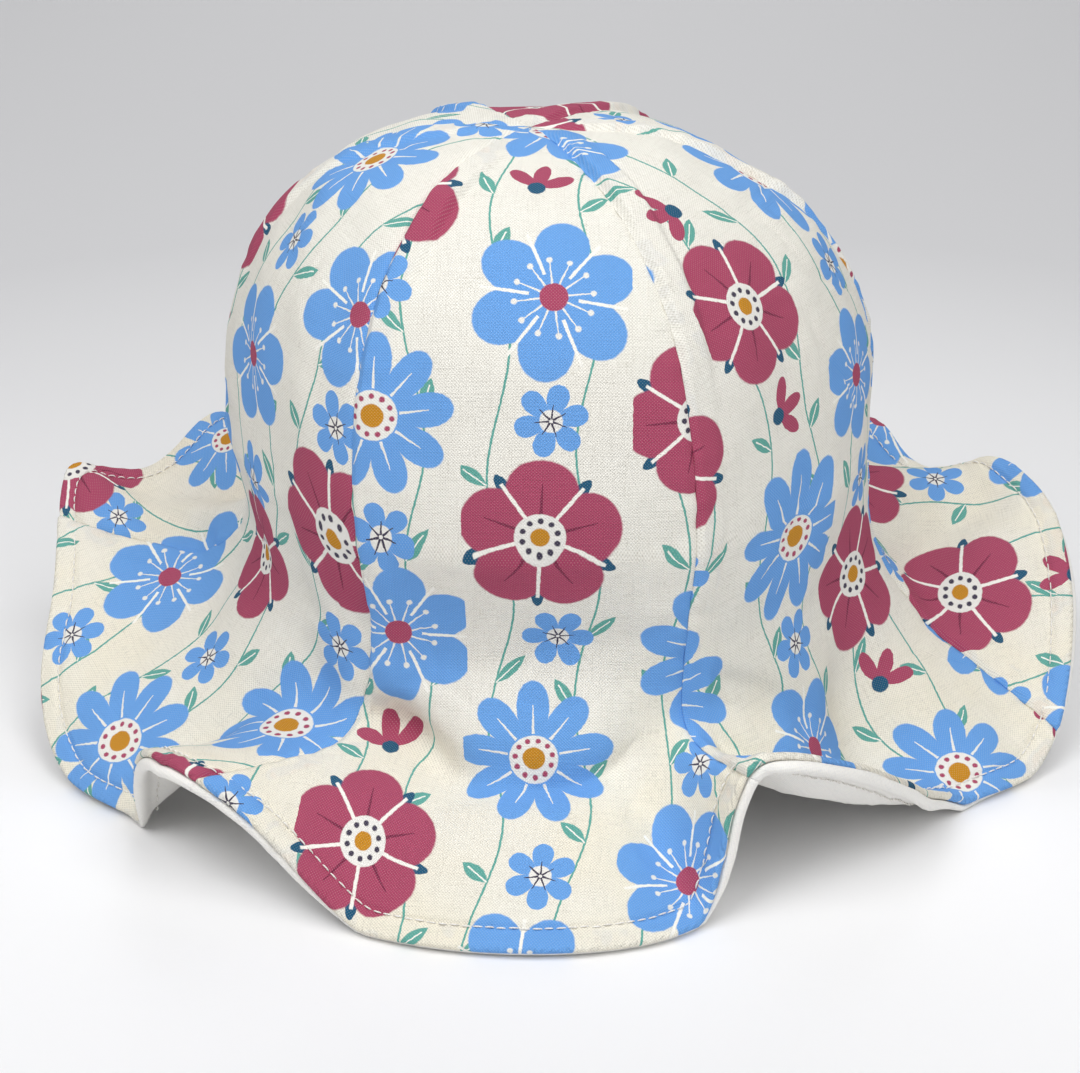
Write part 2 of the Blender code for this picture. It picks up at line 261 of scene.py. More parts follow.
# Wrinkles of worn cotton
SOFT_WRINKLES = (
    # seed, length, height in millimetres
    (3, 55 * MM, 0.70),
    (4, 24 * MM, 0.34),
    (8, 11 * MM, 0.10),
)
# Faint creases, each along the middle of one noise where a second noise is high
CREASES = (
    # seed, length, second seed, second length, lowest level, depth in millimetres
    (5, 44 * MM, 6, 60 * MM, 0.1, 0.42),
    (9, 26 * MM, 10, 38 * MM, 0.2, 0.30),
)
CREASE_WIDTH = 0.09
CREASE_FULL = 0.9
CALM_WIDTH = 50 * MM          # the front of the crown is smoother
CALM_FRONT = (15 * MM, 55 * MM)
CALM_HEIGHTS = (45 * MM, 75 * MM)
CALM_SHARE = 0.55

# Samples of one panel's length round the hem
LENGTH_STEPS = 240
FLOOR_STEPS = 160
STITCH_STEPS = 400

# Mesh of a panel
OUTER_COLUMNS = 96
OUTER_ROWS = (104, 74, 24)    # crown, brim, hem
LINING_COLUMNS = 60
LINING_ROWS = (52, 44, 20)
CAP_ROWS = 8
EDGE_CROWDING = 0.72
HEM_BAND = 11.0 * MM
APEX_START = 0.0003           # the panels start this far down from the crown's middle


def closed_spline(rows, steps):
    """Smooth closed curve through a table whose first column is an azimuth, at even steps of its rows."""
    table = np.array(rows, float)
    count = len(table)
    turn = np.zeros(table.shape[1])
    turn[0] = FULL_TURN
    step = np.vstack([table[1:], table[:1] + turn]) - table
    matrix = np.zeros((count, count))
    right = np.zeros_like(table)
    for row in range(count):
        matrix[row, row - 1] += 1
        matrix[row, row] += 4
        matrix[row, (row + 1) % count] += 1
        right[row] = 3 * (step[row] + step[row - 1])
    slope = np.linalg.solve(matrix, right)
    place = np.linspace(0, count, steps + 1)
    row = np.minimum(place.astype(int), count - 1)
    part = (place - row)[:, None]
    after = (row + 1) % count
    bend = 3 * step[row] - 2 * slope[row] - slope[after]
    twist = slope[row] + slope[after] - 2 * step[row]
    return table[row] + slope[row] * part + bend * part**2 + twist * part**3


def lengths_along(points, axis=0):
    """Length from the start of each line of points, along one axis of the array."""
    steps = np.linalg.norm(np.diff(points, axis=axis), axis=-1)
    start = np.zeros_like(np.take(steps, [0], axis=axis))
    return np.concatenate([start, np.cumsum(steps, axis=axis)], axis=axis)


def hem_by_panel():
    """The hem's azimuth, radius, height and lip, with the panel position 0 to 6 that each sample has."""
    azimuth, reach, lift, lip = closed_spline(HEM, HEM_STEPS).T
    radius = reach * BRIM_REACH
    height = np.maximum(lift, 0) * WAVE_LIFT
    turn = np.radians(azimuth)
    arc = lengths_along(np.stack([radius * np.sin(turn), -radius * np.cos(turn), height], axis=1))
    rows = np.stack([azimuth, radius, height, lip], axis=1)
    rows = np.vstack([rows, rows[1:] + [FULL_TURN, 0, 0, 0]])
    arc = np.concatenate([arc, arc[1:] + arc[-1]])
    ends = [seam[1] for seam in SEAMS]
    ends.append(ends[0] + FULL_TURN)
    seam_arc = np.interp(ends, np.maximum.accumulate(rows[:, 0]), arc)
    position = np.interp(arc, seam_arc, np.arange(PANELS + 1), left=-1, right=PANELS + 1)
    inside = (position >= 0) & (position <= PANELS)
    return position[inside], rows[inside]


HEM_POSITION, HEM_ROWS = hem_by_panel()
WAIST_ROWS = closed_spline(WAIST, WAIST_STEPS)


def waist_at(azimuth):
    first = WAIST_ROWS[0, 0]
    turned = (azimuth - first) % FULL_TURN + first
    return [np.interp(turned, WAIST_ROWS[:, 0], WAIST_ROWS[:, column]) for column in (1, 2)]


def crown_azimuth(across):
    seams = [seam[0] for seam in SEAMS]
    seams.append(seams[0] + FULL_TURN)
    return np.interp(across, np.arange(PANELS + 1), seams)


def seam_section(across):
    """Radius of the crown's cross-section as a share of its radius at the seams."""
    half = math.pi / PANELS
    turn = (across % 1 - 0.5) * 2 * half
    return 1 - PANEL_FLATNESS + PANEL_FLATNESS * math.cos(half) / np.cos(turn)


def plain_surface(across, down):
    """Outer face of the hat before its dents, across 0 to 6 panels and down 0 to 2."""
    across = across - np.floor(across / PANELS) * PANELS
    azimuth = crown_azimuth(across)
    hem = [np.interp(across, HEM_POSITION, HEM_ROWS[:, column]) for column in range(4)]
    hem_azimuth, hem_radius, hem_height, lip = hem
    waist_radius, waist_height = waist_at(azimuth)
    lip = np.radians(lip)

    rise = np.clip(1 - down, 0, 1) * math.pi / 2
    power = 2 / CROWN_FULLNESS
    dome_radius = CROWN_RADIUS * np.cos(rise) ** power
    dome_share = np.sin(rise) ** power
    dome_height = WIDEST_HEIGHT + (HAT_HEIGHT - WIDEST_HEIGHT) * dome_share

    fall = np.clip(down - 1, 0, 1)
    weights = ((1 - fall) ** 3, 3 * fall * (1 - fall) ** 2, 3 * fall**2 * (1 - fall), fall**3)
    radii = (CROWN_RADIUS, waist_radius * CROWN_RADIUS, hem_radius - LIP_LENGTH * np.cos(lip), hem_radius)
    heights = (WIDEST_HEIGHT, waist_height * WIDEST_HEIGHT, hem_height - LIP_LENGTH * np.sin(lip), hem_height)
    brim_radius = sum(weight * radius for weight, radius in zip(weights, radii))
    brim_height = sum(weight * height for weight, height in zip(weights, heights))

    on_dome = down <= 1
    rounding = fall**2 * (3 - 2 * fall)
    section = seam_section(across)
    radius = np.where(on_dome, dome_radius, brim_radius) * (section + (1 - section) * rounding)
    height = np.where(on_dome, dome_height, brim_height)
    turn = np.radians(azimuth + (hem_azimuth - azimuth) * fall**2)
    lean = np.where(on_dome, dome_share, 0) ** 2
    x = radius * np.sin(turn) + CROWN_SHIFT_X * (1 - fall) + APEX_LEAN_X * lean
    y = -radius * np.cos(turn) + APEX_LEAN_Y * lean
    return np.stack([x, y, height], axis=-1)


def unit(vectors):
    return vectors / np.linalg.norm(vectors, axis=-1, keepdims=True)


def outward(surface, across, down):
    """Unit normal of a surface, pointing out of the hat, from the places just beside each point."""
    above = np.maximum(down - NORMAL_STEP, NORMAL_STEP)
    below = np.minimum(down + NORMAL_STEP, 2)
    along = surface(across, below) - surface(across, above)
    round_hat = surface(across + NORMAL_STEP, down) - surface(across - NORMAL_STEP, down)
    return unit(np.cross(along, round_hat))


def dent_depth(across, down):
    depth = np.zeros(np.shape(across))
    for place_across, place_down, share, half_across, half_down in DENTS + SOFT_DENTS:
        apart = (across - place_across + PANELS / 2) % PANELS - PANELS / 2
        depth += share * np.exp(-((apart / half_across) ** 2) - ((down - place_down) / half_down) ** 2)
    return depth * DENT_DEPTH


def fold_lines():
    """Each fold's depth, half width, middle, places, and what one panel across and one step down measure."""
    lines = []
    for depth, half_width, *places in FOLDS + SHARP_FOLDS:
        places = np.array(places, float)
        across, down = places.mean(axis=0)
        around = plain_surface(across + FOLD_STEP, down) - plain_surface(across, down)
        along = plain_surface(across, down + FOLD_STEP) - plain_surface(across, down)
        scales = np.array([np.linalg.norm(step) / FOLD_STEP for step in (around, along)])
        lines.append((depth * FOLD_DEPTH, half_width * FOLD_WIDTH, across, places, scales))
    return lines


FOLD_LINES = fold_lines()


def fold_depth(across, down):
    """Depth of all folds, each a rounded groove or ridge along its line that fades out at both ends."""
    total = np.zeros(np.shape(across))
    for depth, half_width, middle, places, scales in FOLD_LINES:
        near = (across - middle + PANELS / 2) % PANELS - PANELS / 2 + middle
        x, y = near * scales[0], down * scales[1]
        points = places * scales
        lengths = lengths_along(points)
        nearest = np.full(np.shape(across), np.inf)
        share = np.zeros(np.shape(across))
        for start, end, before, after in zip(points, points[1:], lengths, lengths[1:]):
            run = end - start
            part = np.clip(((x - start[0]) * run[0] + (y - start[1]) * run[1]) / (run @ run), 0, 1)
            gap = (x - start[0] - part * run[0]) ** 2 + (y - start[1] - part * run[1]) ** 2
            share = np.where(gap < nearest, (before + part * (after - before)) / lengths[-1], share)
            nearest = np.minimum(gap, nearest)
        total += depth * (1 - (2 * share - 1) ** 4) * np.exp(-nearest / half_width**2)
    return total


def hat_surface(across, down):
    """Outer face of the hat with its dents and folds."""
    normal = outward(plain_surface, across, down)
    depth = dent_depth(across, down) + fold_depth(across, down)
    return plain_surface(across, down) - normal * depth[..., None]


def outline_centre():
    across = np.linspace(0, PANELS, HEM_STEPS)
    hem = plain_surface(across, 2.0)
    return (hem.min(axis=0) + hem.max(axis=0)) / 2 * [1, 1, 0]


CENTRE = outline_centre()


def smooth_step(value, low, high):
    share = np.clip((value - low) / (high - low), 0, 1)
    return share * share * (3 - 2 * share)


def hump(value, middle, half_width):
    return np.exp(-(((value - middle) / half_width) ** 2))


def ripples(seed, length, points, waves=18):
    """Seamless noise of about -1 to 1 and one typical wavelength, from plane waves in random directions."""
    random = np.random.default_rng(seed)
    total = np.zeros(points.shape[:-1])
    for _ in range(waves):
        direction = random.normal(size=3)
        direction /= np.linalg.norm(direction)
        wavelength = length * random.uniform(0.7, 1.4)
        total += np.sin(points @ direction * (math.tau / wavelength) + random.uniform(0, math.tau))
    return total / math.sqrt(waves)


def waves(table, along, number=0):
    """Sum of a table's sine waves along a length."""
    return sum(height * np.sin(along * math.tau / length + turn * number) for height, length, turn in table)


def span(value, first, second, third, last):
    """1 from the second place to the third, fading to 0 at the first and the last."""
    return smooth_step(value, first, second) * (1 - smooth_step(value, third, last))


def wrinkles(points):
    """Soft unevenness of worn cotton with faint creases."""
    height = sum(share * ripples(seed, length, points) for seed, length, share in SOFT_WRINKLES)
    for seed, length, second_seed, second_length, lowest, depth in CREASES:
        line = hump(ripples(seed, length, points), 0, CREASE_WIDTH)
        shown = smooth_step(ripples(second_seed, second_length, points), lowest, CREASE_FULL)
        height -= depth * (line * shown)
    x, y, z = np.moveaxis(points, -1, 0)
    calm = hump(x, 0, CALM_WIDTH) * smooth_step(-y, *CALM_FRONT) * smooth_step(z, *CALM_HEIGHTS)
    return height * (1 - CALM_SHARE * calm) * MM


def seam_relief(left, right, along, number):
    """Height of a panel's face near its two seams: left and right are the distances from them."""
    groove = -GROOVE_DEPTH * (hump(left, 0, GROOVE_WIDTH) + hump(right, 0, GROOVE_WIDTH))
    height = ALLOWANCE_RISE + ALLOWANCE_PEAK * hump(along, PEAK_PLACE, PEAK_REACH)
    allowance = height * (1 + waves(ALLOWANCE_WAVES, along, number)) * span(left, *ALLOWANCE_SPAN)
    dip = -DIP_DEPTH * hump(right, 0, DIP_REACH)
    near = np.exp(-left / PUCKER_REACH) + np.exp(-right / PUCKER_REACH)
    group = smooth_step(np.sin(along * math.tau / PUCKER_GROUPS + number), -0.9, 0.6)
    pucker = PUCKER_DEPTH * waves(PUCKER_WAVES, along, number) * near * group
    return (groove + allowance + dip + pucker) * smooth_step(along, 0, SEAM_FADE)


def hem_relief(inset, round_hem):
    """Height of the printed face near the hem, from the distance inside it and the length round it."""
    sunk = -STITCH_SINK * hump(inset, STITCH_INSET, STITCH_GROOVE)
    full = HEM_PUFF * (1 - smooth_step(inset, STITCH_INSET - PUFF_FADE, STITCH_INSET))
    edge = HEM_EDGE * span(inset, *HEM_EDGE_SPAN)
    beat = waves(HEM_BEAT, round_hem)
    ripple = np.sin(round_hem * math.tau / HEM_RIPPLE_LENGTH + 2.4 * beat) * (0.7 + 0.5 * beat)
    return sunk + full + edge + HEM_RIPPLE * ripple * span(inset, *HEM_RIPPLE_SPAN)


def down_per_metre(across, step):
    """How far down a metre on the cloth reaches near the hem."""
    return step / np.linalg.norm(hat_surface(across, 2 - step) - hat_surface(across, 2.0), axis=-1)


def places_on_panel(number, columns, rows, roll_radius):
    """Grid of places on one panel, closer together at its seams and its hem, up to where its roll starts."""
    share = np.linspace(0, 1, columns + 1)
    crowded = (1 - EDGE_CROWDING) * share + EDGE_CROWDING * (0.5 - 0.5 * np.cos(math.pi * share))
    across = number - 1 + crowded
    crown_rows, brim_rows, hem_rows = rows
    per_metre = down_per_metre(across, 0.01)
    end = 2 - roll_radius * per_metre
    band = 2 - HEM_BAND * per_metre
    crown = np.linspace(0, 1, crown_rows + 1)[1:-1] ** 1.12
    crown = np.broadcast_to(np.concatenate([[APEX_START], crown]), (columns + 1, crown_rows))
    brim = 1 + np.linspace(0, 1, brim_rows + 1)[None, :-1] * (band[:, None] - 1)
    hem = band[:, None] + np.linspace(0, 1, hem_rows + 1)[None, :] * (end - band)[:, None]
    down = np.concatenate([crown, brim, hem], axis=1)
    return np.broadcast_to(across[:, None], down.shape), down


def round_hem_at(across):
    """Length round the hem from the first seam."""
    places = np.linspace(0, PANELS, PANELS * LENGTH_STEPS + 1)
    length = lengths_along(plain_surface(places, 2.0))
    return np.interp(across, places, length)


def floor_lift(across):
    """How far the hem's low waves are lifted so that the lining's roll just touches the floor."""
    places = np.linspace(0, PANELS, PANELS * FLOOR_STEPS + 1)
    normal = outward(hat_surface, places, 1.99)
    middle = sum(LINING_ROLL) / 2
    radius = (LINING_ROLL[0] - LINING_ROLL[1]) / 2
    below = radius - (hat_surface(places, 2.0) + normal * middle)[:, 2]
    lift = FLOOR_SOFTNESS * np.log1p(np.exp(np.clip(below / FLOOR_SOFTNESS, -30, 30)))
    return np.interp(across, places, lift)


def settled(points, across, inset):
    """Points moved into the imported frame, with the low waves of the hem lifted onto the floor."""
    points = points - CENTRE
    fade = 1 - smooth_step(inset, 0, FLOOR_FADE)
    points[..., 2] += floor_lift(across) * fade
    points[..., 2] = np.maximum(points[..., 2], 0)
    return points


class Panel:
    """Grid of one panel: places, base points, normals and the distances that its relief needs."""

    def __init__(self, number, columns, rows, roll):
        self.roll_radius = (roll[0] - roll[1]) / 2
        self.across, self.down = places_on_panel(number, columns, rows, self.roll_radius)
        self.base = hat_surface(self.across, self.down)
        self.normal = outward(hat_surface, self.across, self.down)
        self.left = lengths_along(self.base, axis=0)
        self.right = self.left[-1:] - self.left
        self.along = lengths_along(self.base, axis=1)
        self.inset = self.along[:, -1:] - self.along + self.roll_radius
        self.round_hem = round_hem_at(self.across)
        self.wrinkle = wrinkles(self.base)
        self.tangent = unit(self.base[:, -1] - self.base[:, -2])

    def face(self, height):
        return self.base + self.normal * (self.wrinkle + height)[..., None]

    def cap(self, first_height, last_height):
        """Half-round roll at the hem, between the heights that two faces end at."""
        middle = (first_height[:, -1] + last_height[:, -1]) / 2
        radius = (first_height[:, -1] - last_height[:, -1]) / 2
        turn = np.linspace(0, math.pi, CAP_ROWS + 2)[1:-1]
        centre = self.base[:, -1] + self.normal[:, -1] * (self.wrinkle[:, -1] + middle)[:, None]
        out = self.normal[:, None, -1] * np.cos(turn)[None, :, None]
        over = self.tangent[:, None] * np.sin(turn)[None, :, None]
        return centre[:, None] + (out + over) * radius[:, None, None]


def relaxed_flat(number):
    """A panel laid flat: places in metres on a coarse grid, relaxed until its threads keep their lengths."""
    columns, rows, rounds = 32, 64, 900
    share = np.linspace(0, 1, columns + 1)
    down = np.concatenate([np.linspace(0.01, 1, rows // 2 + 1), np.linspace(1, 2, rows // 2 + 1)[1:]])
    across, down_grid = np.meshgrid(number - 1 + share, down, indexing="ij")
    points = hat_surface(across, down_grid)
    left = lengths_along(points, axis=0)
    middle = columns // 2
    flat = np.stack([left - left[middle:middle + 1], -lengths_along(points, axis=1)], axis=-1)
    links = []
    for step_across, step_down in ((1, 0), (0, 1), (1, 1), (1, -1), (2, 0), (0, 2), (4, 0), (0, 4)):
        low = max(0, -step_down)
        one = (slice(0, columns + 1 - step_across), slice(low, rows + 1 - max(0, step_down)))
        two = (slice(step_across, columns + 1), slice(low + step_down, rows + 1 + min(0, step_down)))
        links.append((one, two, np.linalg.norm(points[one] - points[two], axis=-1)))
    for _ in range(rounds):
        push = np.zeros_like(flat)
        for one, two, length in links:
            apart = flat[two] - flat[one]
            now = np.linalg.norm(apart, axis=-1) + 1e-9
            move = apart * ((now - length) / now * 0.5)[..., None]
            push[one] += move
            push[two] -= move
        flat += push * (1.6 / len(links))
    for _ in range(4):
        flat[1:-1] = (flat[:-2] + 2 * flat[1:-1] + flat[2:]) / 4
        flat[:, 1:-1] = (flat[:, :-2] + 2 * flat[:, 1:-1] + flat[:, 2:]) / 4
    flat -= flat[middle, 0]
    return share, down, flat


def flat_at(flat_panel, across, down):
    """Where places on a panel lie when it is flat, between the points of its coarse grid."""
    share, downs, flat = flat_panel
    i = (across - across[0, 0]) * (len(share) - 1)
    j = np.interp(down, downs, np.arange(len(downs)))
    low_i = np.clip(i.astype(int), 0, len(share) - 2)
    low_j = np.clip(j.astype(int), 0, len(downs) - 2)
    part_i, part_j = (i - low_i)[..., None], (j - low_j)[..., None]
    top = flat[low_i, low_j] * (1 - part_i) + flat[low_i + 1, low_j] * part_i
    bottom = flat[low_i, low_j + 1] * (1 - part_i) + flat[low_i + 1, low_j + 1] * part_i
    return top * (1 - part_j) + bottom * part_j


def new_mesh(name, points, faces):
    mesh = bpy.data.meshes.new(name)
    mesh.from_pydata(points, [], faces)
    mesh.shade_smooth()
    return mesh


def tube_faces(rings, sides):
    """Faces of a tube with two ends, whose points run round it ring by ring."""
    faces = [tuple(reversed(range(sides)))]
    for one in range((rings - 1) * sides):
        two = one - sides + 1 if one % sides == sides - 1 else one + 1
        faces.append((one, two, two + sides, one + sides))
    return faces + [tuple(range((rings - 1) * sides, rings * sides))]


def shell_mesh(name, loops, cloth_map, edge_map):
    """Closed shell whose cross-sections are loops of points, one for each column of a panel."""
    columns, count = loops.shape[:2]
    index = np.arange(columns * count).reshape(columns, count)
    after = np.roll(index, -1, axis=1)
    skin = np.stack([index[:-1], after[:-1], after[1:], index[1:]], axis=-1).reshape(-1, 4)
    half = count // 2
    pair = index[:, ::-1]
    ends = []
    for column, order in ((0, (0, 3, 2, 1)), (-1, (0, 1, 2, 3))):
        row = index[column]
        other = pair[column]
        side = np.stack([row[:half - 1], row[1:half], other[1:half], other[:half - 1]], axis=-1)
        ends.append(side[:, order])
    quads = np.concatenate([skin] + ends)
    mesh = new_mesh(name, loops.reshape(-1, 3).tolist(), quads.tolist())
    corners = np.zeros(len(mesh.loops), dtype=np.int32)
    mesh.loops.foreach_get("vertex_index", corners)
    for label, values in (("Cloth", cloth_map), ("Edges", edge_map)):
        layer = mesh.uv_layers.new(name=label)
        layer.uv.foreach_set("vector", values.reshape(-1, 2)[corners].astype(np.float32).ravel())
    return mesh


def add_object(name, data):
    thing = bpy.data.objects.new(name, data)
    bpy.context.scene.collection.objects.link(thing)
    return thing


def add_piece(name, mesh, material, slot_name, *nodes):
    piece = add_object(name, mesh)
    mesh.materials.append(material)
    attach(piece, "root")
    if nodes:
        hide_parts(*nodes)
    return piece


def loop_of(first, cap, last):
    return np.concatenate([first, cap, last[:, ::-1]], axis=1)


def shell_maps(panel, flat_panel, from_first):
    """Cloth and edge maps of a shell. The cloth's map runs on over the roll from the face that shows."""
    flat = flat_at(flat_panel, panel.across, panel.down)
    inset = panel.inset
    over = np.linspace(0, math.pi * panel.roll_radius, CAP_ROWS + 2)[1:-1]
    over = over if from_first else over[::-1]
    flat_cap = flat[:, None, -1] + unit(flat[:, -1] - flat[:, -2])[:, None] * over[None, :, None]
    cloth = loop_of(flat, flat_cap, flat)
    seam = np.where(panel.left < panel.right, panel.left, -panel.right)
    seam_cap = np.broadcast_to(seam[:, -1:], flat_cap.shape[:2])
    inset_cap = panel.roll_radius - np.broadcast_to(over, flat_cap.shape[:2])
    face = np.stack([seam, inset], -1)
    return cloth, loop_of(face, np.stack([seam_cap, inset_cap], -1), face)


def add_panel(names, panel, flat_panel, heights, cut, from_first, material):
    """One panel as a closed sheet of cloth: its first face, the roll at its hem and its last face."""
    name, other, slot_name, node = names
    first, last = heights
    loops = loop_of(panel.face(first), panel.cap(first, last), panel.face(last))
    insets = loop_of(panel.inset, np.zeros((len(loops), CAP_ROWS)), panel.inset)
    across = np.broadcast_to(panel.across[:, :1], insets.shape)
    cloth, edges = shell_maps(panel, flat_panel, from_first)
    mesh = shell_mesh(name, settled(loops, across, insets), cloth + cut, edges)
    piece = add_piece(name, mesh, material, slot_name, node)


def printed_panel(number, flat_panel, cut, material):
    panel = Panel(number, OUTER_COLUMNS, OUTER_ROWS, PRINTED_ROLL)
    relief = seam_relief(panel.left, panel.right, panel.along, number)
    relief += hem_relief(panel.inset, panel.round_hem)
    at_hem = 1 - smooth_step(panel.inset, ROLL_FULL, PRINTED_ROLL_START)
    under = -CLOTH_WALL + (PRINTED_ROLL[1] + CLOTH_WALL) * at_hem
    names = (f"printed_panel_{number}", f"lining_panel_{number}", "printed_cotton", f"outer_petal_{number}")
    add_panel(names, panel, flat_panel, (relief, under), cut, True, material)


def lining_panel(number, flat_panel, material):
    panel = Panel(number, LINING_COLUMNS, LINING_ROWS, LINING_ROLL)
    top, bottom = LINING_ROLL
    hidden = -CLOTH_WALL - LAYER_GAP
    at_hem = 1 - smooth_step(panel.inset, ROLL_FULL, LINING_ROLL_START)
    back = hidden + (top - hidden) * at_hem
    relief = LINING_SHARE * seam_relief(panel.left, panel.right, panel.along, number + PANELS // 2)
    shown = hidden - CLOTH_WALL - relief + STITCH_SINK * hump(panel.inset, STITCH_INSET, LINING_GROOVE)
    ripple = hem_relief(panel.inset, panel.round_hem + 2 * MM) - hem_relief(panel.inset, panel.round_hem * 0)
    hem_height = np.interp(panel.across[:, -1:], HEM_POSITION, HEM_ROWS[:, 2])
    roll = bottom - ROLL_SWELL * smooth_step(hem_height, *SWELL_HEIGHTS)
    shown = shown - LINING_SHARE * ripple + (roll - shown) * at_hem
    names = (f"lining_panel_{number}", f"printed_panel_{number}", "white_cotton", f"lining_petal_{number}")
    add_panel(names, panel, flat_panel, (back, shown), 0.0, False, material)


def stitch_line(height):
    """Points, normals and length of the topstitching at a height off the hat's outer face."""
    across = np.linspace(0, PANELS, PANELS * STITCH_STEPS + 1)
    down = 2 - STITCH_INSET * down_per_metre(across, 0.05)
    base = hat_surface(across, down)
    normal = outward(hat_surface, across, down)
    points = base + normal * (wrinkles(base) + height)[:, None]
    return settled(points, across, np.full(across.shape, STITCH_INSET)), normal, lengths_along(points)


def topstitching(name, height, side, material, seed):
    """Row of single stitches, each a short round thread that dips into the cloth at both ends."""
    points, normals, length = stitch_line(height)
    random = np.random.default_rng(seed)
    count = int(length[-1] / STITCH_PITCH)
    share = np.linspace(0, 1, THREAD_RINGS)
    bow = np.sin(math.pi * share) ** 0.6
    turns = math.tau * np.arange(THREAD_SIDES)[:, None] / THREAD_SIDES
    tube = tube_faces(THREAD_RINGS, THREAD_SIDES)
    vertices, faces = [], []
    for stitch in range(count):
        start = stitch * length[-1] / count + random.normal(0, STITCH_SLIP)
        places = (start + share * STITCH_LENGTH * random.uniform(0.94, 1.05)) % length[-1]
        middle, normal = (
            np.stack([np.interp(places, length, values[:, axis]) for axis in range(3)], -1)
            for values in (points, normals)
        )
        normal = unit(normal) * side
        beside = unit(np.cross(middle[-1] - middle[0], normal))
        middle += normal * ((bow - 0.62) * STITCH_BOW)[:, None] + beside * random.normal(0, STITCH_STRAY)
        spokes = normal[:, None] * np.cos(turns) + beside[:, None] * np.sin(turns)
        radius = THREAD_RADIUS * (0.62 + 0.38 * bow)
        faces += [tuple(len(vertices) + corner for corner in face) for face in tube]
        vertices += (middle[:, None] + spokes * radius[:, None, None]).reshape(-1, 3).tolist()
    add_piece(name, new_mesh(name, vertices, faces), material, "white_cotton")


def linear(*colour):
    """Colour given as it looks on a screen, 0 to 255, as the linear values that a shader takes."""
    return tuple(((part / 255 + 0.055) / 1.055) ** 2.4 for part in colour) + (1.0,)


CREAM = linear(250, 248, 240)
# Painted warm bounce light on the cream near the hem, also used for random warmer patches of tone
PAINTED_BOUNCE_CREAM = linear(250, 243, 222)
CREAM_THREAD = linear(198, 193, 180)
GHOST_COOL = linear(206, 210, 220)
GHOST_WARM = linear(228, 204, 198)
SKY = linear(106, 164, 230)
RASPBERRY = linear(172, 72, 102)
RASPBERRY_DEEP = linear(128, 44, 74)
STEM = linear(98, 170, 158)
TEAL = linear(30, 88, 120)
CHARCOAL = linear(66, 60, 80)
MUSTARD = linear(200, 138, 30)
INK_WHITE = linear(240, 238, 232)
LINING_WHITE = linear(248, 246, 240)
LINING_PORE = linear(214, 216, 224)
LINING_SLUB = linear(222, 222, 226)
THREAD_WHITE = linear(246, 244, 240)
THREAD_SHADE = linear(214, 208, 196)
FLOOR_NEAR = linear(248, 248, 249)
# Painted shade: the floor's colour far from the hat, greyer where the lamps' light falls off
FLOOR_FAR_PAINTED_SHADE = linear(220, 220, 222)


MIX_BELOW = 6    # places of a Mix node's two colours and its result
MIX_ABOVE = 7
MIX_RESULT = 2


class Term:
    """One number in a material's node tree. Arithmetic with it adds Math nodes."""

    def __init__(self, tree, socket):
        self.tree = tree
        self.socket = socket

    def math(self, operation, *others):
        inputs = dict(enumerate((self,) + others))
        return Term(self.tree, new_node(self.tree, "Math", inputs, operation=operation).outputs[0])

    def __neg__(self):
        return self * -1.0

    __add__ = partialmethod(math, "ADD")
    __sub__ = partialmethod(math, "SUBTRACT")
    __mul__ = partialmethod(math, "MULTIPLY")
    __truediv__ = partialmethod(math, "DIVIDE")
    __abs__ = partialmethod(math, "ABSOLUTE")
    floor = partialmethod(math, "FLOOR")
    sine = partialmethod(math, "SINE")
    cosine = partialmethod(math, "COSINE")
    less = partialmethod(math, "LESS_THAN")
    more = partialmethod(math, "GREATER_THAN")

    def ramp(self, low, high, first=0.0, last=1.0):
        """Runs from first to last as the value goes from low to high, and stays there outside."""
        ends = {"From Min": low, "From Max": high, "To Min": first, "To Max": last}
        return Term(self.tree, new_node(self.tree, "MapRange", {"Value": self, **ends}).outputs[0])


def new_node(tree, kind, inputs, **settings):
    """New shader node. Its inputs, by name or number, are fixed values, terms or other nodes' sockets."""
    node = tree.nodes.new("ShaderNode" + kind)
    for label, value in settings.items():
        setattr(node, label, value)
    for label, value in inputs.items():
        if isinstance(value, Term):
            value = value.socket
        if isinstance(value, bpy.types.NodeSocket):
            tree.links.new(value, node.inputs[label])
        else:
            node.inputs[label].default_value = value
    return node


def split(tree, socket, count=2, kind="SeparateXYZ"):
    node = new_node(tree, kind, {0: socket})
    return [Term(tree, node.outputs[place]) for place in range(count)]


def map_terms(tree, name):
    """The two numbers of a surface map, in millimetres."""
    node = new_node(tree, "UVMap", {}, uv_map=name)
    return [part * 1000.0 for part in split(tree, node.outputs[0])]


def noise(tree, vector, scale, detail):
    node = new_node(tree, "TexNoise", {"Vector": vector, "Scale": scale, "Detail": detail})
    return Term(tree, node.outputs["Fac"])


def cloth_noise(tree, x, y, scale_x, scale_y, seed):
    place = new_node(tree, "CombineXYZ", {0: x * scale_x, 1: y * scale_y, 2: seed})
    return noise(tree, place.outputs[0], 1.0, 2.0)


def random_terms(tree, x, y, seed):
    """Three random numbers from 0 to 1 for a cell of a lattice."""
    place = new_node(tree, "CombineXYZ", {0: x, 1: y, 2: seed})
    node = new_node(tree, "TexWhiteNoise", {"Vector": place.outputs[0]})
    return split(tree, node.outputs["Color"], 3, "SeparateColor")


def mix(tree, below, above, share):
    """Colour above over colour below: either is a socket or a fixed colour."""
    node = new_node(tree, "Mix", {0: share, MIX_BELOW: below, MIX_ABOVE: above}, data_type="RGBA")
    return node.outputs[MIX_RESULT]


